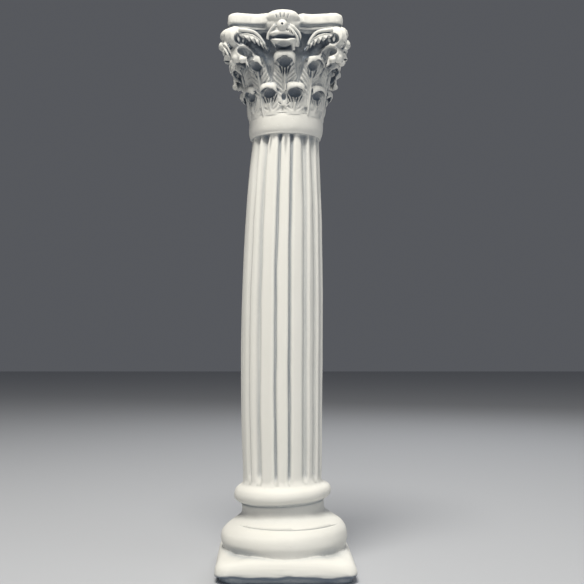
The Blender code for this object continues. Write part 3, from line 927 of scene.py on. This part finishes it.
class Value:
    """A socket of the plaster's shader that can be used in a Python expression."""

    def __init__(self, tree, socket):
        self.tree = tree
        self.socket = socket

    def math(self, operation, other, swap=False):
        node = self.tree.nodes.new("ShaderNodeMath")
        node.operation = operation
        for place, item in zip((1, 0) if swap else (0, 1), (self, other)):
            if isinstance(item, Value):
                self.tree.links.new(item.socket, node.inputs[place])
            else:
                node.inputs[place].default_value = item
        return Value(self.tree, node.outputs[0])

    def __add__(self, other):
        return self.math("ADD", other)

    def __radd__(self, other):
        return self.math("ADD", other, True)

    def __mul__(self, other):
        return self.math("MULTIPLY", other)

    def __rmul__(self, other):
        return self.math("MULTIPLY", other, True)


class Finish:
    """One material and the means to add nodes to it."""

    def __init__(self, name):
        self.material = bpy.data.materials.new(name)
        self.material.use_nodes = True
        self.tree = self.material.node_tree
        self.shader = self.tree.nodes["Principled BSDF"]

    def node(self, kind, settings=None, output=0, **inputs):
        made = self.tree.nodes.new("ShaderNode" + kind)
        for setting, value in (settings or {}).items():
            setattr(made, setting, value)
        for key, value in inputs.items():
            place = int(key[1:]) if key[0] == "i" and key[1:].isdigit() else key.replace("_", " ")
            if isinstance(value, Value):
                self.tree.links.new(value.socket, made.inputs[place])
            else:
                made.inputs[place].default_value = value
        return Value(self.tree, made.outputs[output])

    def feed(self, name, value):
        if isinstance(value, Value):
            self.tree.links.new(value.socket, self.shader.inputs[name])
        else:
            self.shader.inputs[name].default_value = value

    def blend(self, mask, first, second):
        """A colour between two others."""
        return self.node("Mix", {"data_type": "RGBA"}, 2, i0=mask, i6=first, i7=second)

    def share_between(self, value, low, high):
        """0 up to the low value, 1 from the high one on, and even between them."""
        return self.node("MapRange", {"clamp": True}, Value=value, From_Min=low, From_Max=high)


def plaster():
    """Bare cast plaster: matt, warm white, with fine grain and pinholes, and painted shade that makes its
    hollows cooler and darker.
    """
    finish = Finish("cast_plaster")
    place = finish.node("TexCoord", output=3)
    cloud = finish.node("TexNoise", Vector=place, Scale=38.0, Detail=3.0)
    grain = finish.node("TexNoise", Vector=place, Scale=2600.0, Detail=2.0)
    drag = finish.node("TexNoise", Vector=place, Scale=420.0, Detail=4.0)
    pits = finish.node("TexVoronoi", Vector=place, Scale=330.0)
    pinhole = finish.share_between(pits, 0.10, 0.18)
    # Painted shade: ambient occlusion blends a cool dark colour into the plaster in hollows and under
    # overhangs, where shade falls.
    painted_shade_occlusion = finish.node("AmbientOcclusion", {"samples": 6}, output=1, Distance=0.013)
    open_part = finish.share_between(painted_shade_occlusion, 0.30, 0.86)
    body = finish.blend(cloud, (0.792, 0.776, 0.712, 1.0), (0.842, 0.828, 0.772, 1.0))
    colour = finish.blend(open_part, (0.165, 0.205, 0.260, 1.0), body)
    finish.feed("Base Color", colour)
    finish.feed("Roughness", 0.62 + 0.2 * drag)
    finish.feed("Specular IOR Level", 0.32)
    relief = 0.5 * drag + 0.25 * grain + 0.5 * pinhole
    bump = finish.node("Bump", Height=relief, Strength=0.28, Distance=0.00022)
    finish.feed("Normal", bump)
    return finish.material


def camera():
    """Level, with the horizon low in the frame, as the curves of the photo's rings show."""
    optics = bpy.data.cameras.new("camera")
    optics.sensor_width = SENSOR_WIDTH
    optics.lens = FOCAL_LENGTH
    optics.shift_x = SHIFT_ACROSS / PHOTO_SIDE
    optics.shift_y = SHIFT_UP / PHOTO_SIDE
    optics.clip_start = 0.01
    seat = bpy.data.objects.new("camera", optics)
    seat.location = EYE
    seat.rotation_euler = (math.radians(90.0), 0.0, 0.0)
    bpy.context.scene.collection.objects.link(seat)
    bpy.context.scene.camera = seat


def lamp(name, place, aim, size, power, colour):
    """A round soft light at a place, turned to what it lights."""
    light = bpy.data.lights.new(name, "AREA")
    light.shape = "DISK"
    light.size = size
    light.energy = power
    light.color = colour
    seat = bpy.data.objects.new(name, light)
    seat.location = place
    seat.rotation_euler = (Vector(aim) - Vector(place)).to_track_quat("-Z", "Y").to_euler()
    bpy.context.scene.collection.objects.link(seat)


def pale_floor():
    """A wide matt floor for the column to stand on in the picture."""
    mesh = bpy.data.meshes.new("floor")
    reach = FLOOR_HALF
    corners = [(-reach, -reach, 0.0), (reach, -reach, 0.0), (reach, reach, 0.0), (-reach, reach, 0.0)]
    mesh.from_pydata(corners, [], [(0, 1, 2, 3)])
    floor = bpy.data.objects.new("floor", mesh)
    bpy.context.scene.collection.objects.link(floor)
    paint = bpy.data.materials.new("pale_floor")
    paint.use_nodes = True
    shader = paint.node_tree.nodes["Principled BSDF"]
    shader.inputs["Base Color"].default_value = (0.50, 0.51, 0.53, 1.0)
    shader.inputs["Roughness"].default_value = 0.9
    mesh.materials.append(paint)


def studio():
    """Soft light from above and the front left, a weak fill from the right, and a pale floor."""
    lamp("key", (-0.09, -0.43, 1.02), AIM, 0.42, 12.2, (1.0, 0.972, 0.91))
    lamp("front", (-0.10, -1.10, 0.24), AIM, 0.70, 1.1, (1.0, 0.99, 0.96))
    lamp("fill", (0.75, -0.55, 0.30), (0.0, 0.0, 0.14), 0.60, 0.9, (0.86, 0.92, 1.0))
    lamp("back", (0.25, 0.70, 0.70), AIM, 0.50, 2.0, (0.95, 0.97, 1.0))
    world = bpy.data.worlds.new("studio")
    bpy.context.scene.world = world
    world.use_nodes = True
    sky = world.node_tree.nodes["Background"]
    sky.inputs["Color"].default_value = (0.86, 0.90, 1.0, 1.0)
    sky.inputs["Strength"].default_value = 0.11
    pale_floor()
    bpy.context.scene.view_settings.view_transform = "Standard"


camera()
studio()
column = cast()
column.name = "fluted_column"
column.data.name = "fluted_column"
settle(column)
column.data.materials.clear()
column.data.materials.append(plaster())
column.data.shade_smooth()
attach(column, "root")
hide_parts("plaster_column")
bpy.context.view_layer.update()
